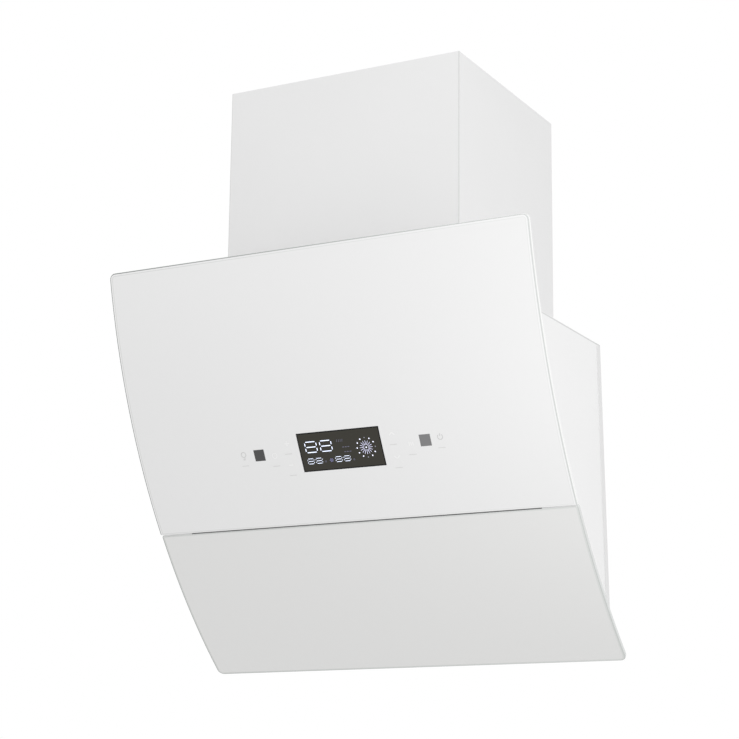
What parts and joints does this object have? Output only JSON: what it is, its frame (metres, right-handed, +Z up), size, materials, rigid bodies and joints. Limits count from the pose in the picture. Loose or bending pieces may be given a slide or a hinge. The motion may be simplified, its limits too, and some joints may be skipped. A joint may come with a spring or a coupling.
{
  "type": "curved glass range hood",
  "caption": "Inclined wall hood with a curved white glass front in two panels, a hinged lower flap over a grease filter, a centrifugal blower and a telescopic chimney cover.",
  "frame": {"origin": "centre of the four wall screw holes, on the back face that lies against the wall", "axes": "+X right seen from the room, +Y into the wall, +Z up"},
  "size_m": [0.6, 0.3812, 0.7575],
  "materials": {
    "white_steel": "satin white powder coat",
    "white_glass": "clear toughened glass painted white on the back",
    "zinc_steel": "zinc plated",
    "screw_steel": "bright steel",
    "black_plastic": "moulded, fine texture",
    "black_rubber": "matt",
    "display_glass": "smoked",
    "circuit_board": "solder mask",
    "galvanised": "galvanised, spangled",
    "motor_core": "varnished laminations",
    "filter_aluminium": "washed aluminium",
    "lamp_metal": "satin",
    "lamp_lens": "frosted",
    "clear_plastic": "translucent"
  },
  "bodies": {
    "housing": {"back_panel": "white_steel", "bottom_panel": "white_steel", "cable_bush": "black_plastic", "catch_magnets": "black_plastic", "chimney_screws": "screw_steel", "collar_screws": "screw_steel", "control_board": "circuit_board", "control_box": "black_plastic", "control_box_lid": "black_plastic", "display_holder": "black_plastic", "display_module": "display_glass", "duct_collar": "black_plastic", "filter_core": "filter_aluminium", "filter_frame": "white_steel", "filter_mesh": "filter_aluminium", "filter_rim": "filter_aluminium", "front_panel": "white_steel", "glass_rail_left": "white_steel", "glass_rail_right": "white_steel", "hinge_bracket_left": "zinc_steel", "hinge_bracket_right": "zinc_steel", "hinge_pins": "screw_steel", "lamp_boards": "circuit_board", "lamp_housings": "lamp_metal", "lamp_lenses": "lamp_lens", "latch_tray": "black_plastic", "motor_bearings": "screw_steel", "motor_bracket": "zinc_steel", "motor_bracket_screws": "screw_steel", "motor_bushes": "black_rubber", "motor_capacitor": "black_plastic", "motor_end_shield_inner": "galvanised", "motor_end_shield_outer": "galvanised", "motor_stator": "motor_core", "outer_chimney": "white_steel", "scroll_half_left": "black_plastic", "scroll_half_right": "black_plastic", "sensors": "display_glass", "side_panel_left": "white_steel", "side_panel_right": "white_steel", "top_panel": "white_steel", "touch_board": "circuit_board", "touch_pads": "black_rubber", "upper_carrier": "white_steel", "upper_glass": "white_glass"},
    "flap": {"lower_glass": "white_glass", "flap_carrier": "white_steel", "flap_seal": "black_rubber", "catch_plates": "zinc_steel"},
    "impeller": {"impeller": "galvanised", "impeller_nut": "screw_steel", "motor_shaft": "screw_steel", "motor_rotor": "motor_core"},
    "valve_front": {"valve_front": "black_plastic"},
    "valve_back": {"valve_back": "black_plastic"},
    "inner_chimney": {"inner_chimney": "white_steel", "ceiling_bracket": "zinc_steel", "ceiling_bracket_screws": "screw_steel"},
    "filter_latch": {"filter_latch": "black_plastic"},
    "oil_cup": {"oil_cup": "clear_plastic"}
  },
  "joints": [
    {"name": "flap_hinge", "type": "hinge", "parent": "housing", "child": "flap", "pos_m": [0, -0.2128, -0.07042], "axis": [-1, 0, 0], "range_deg": [0, 60]},
    {"name": "impeller_spin", "type": "hinge", "parent": "housing", "child": "impeller", "pos_m": [0, -0.13, 0.075], "axis": [1, 0, 0], "continuous": true},
    {"name": "valve_front_hinge", "type": "hinge", "parent": "housing", "child": "valve_front", "pos_m": [0, -0.195, 0.221], "axis": [-1, 0, 0], "range_deg": [0, 75]},
    {"name": "valve_back_hinge", "type": "hinge", "parent": "housing", "child": "valve_back", "pos_m": [0, -0.186, 0.221], "axis": [1, 0, 0], "range_deg": [0, 75]},
    {"name": "chimney_slide", "type": "slide", "parent": "housing", "child": "inner_chimney", "axis": [0, 0, 1], "range_m": [0, 0.25]},
    {"name": "latch_slide", "type": "slide", "parent": "housing", "child": "filter_latch", "axis": [0, 0.6619, -0.7496], "range_m": [0, 0.006], "stiffness_N_per_m": 200},
    {"name": "oil_cup_slide", "type": "slide", "parent": "housing", "child": "oil_cup", "axis": [0, 0, -1], "range_m": [0, 0.03]}
  ]
}
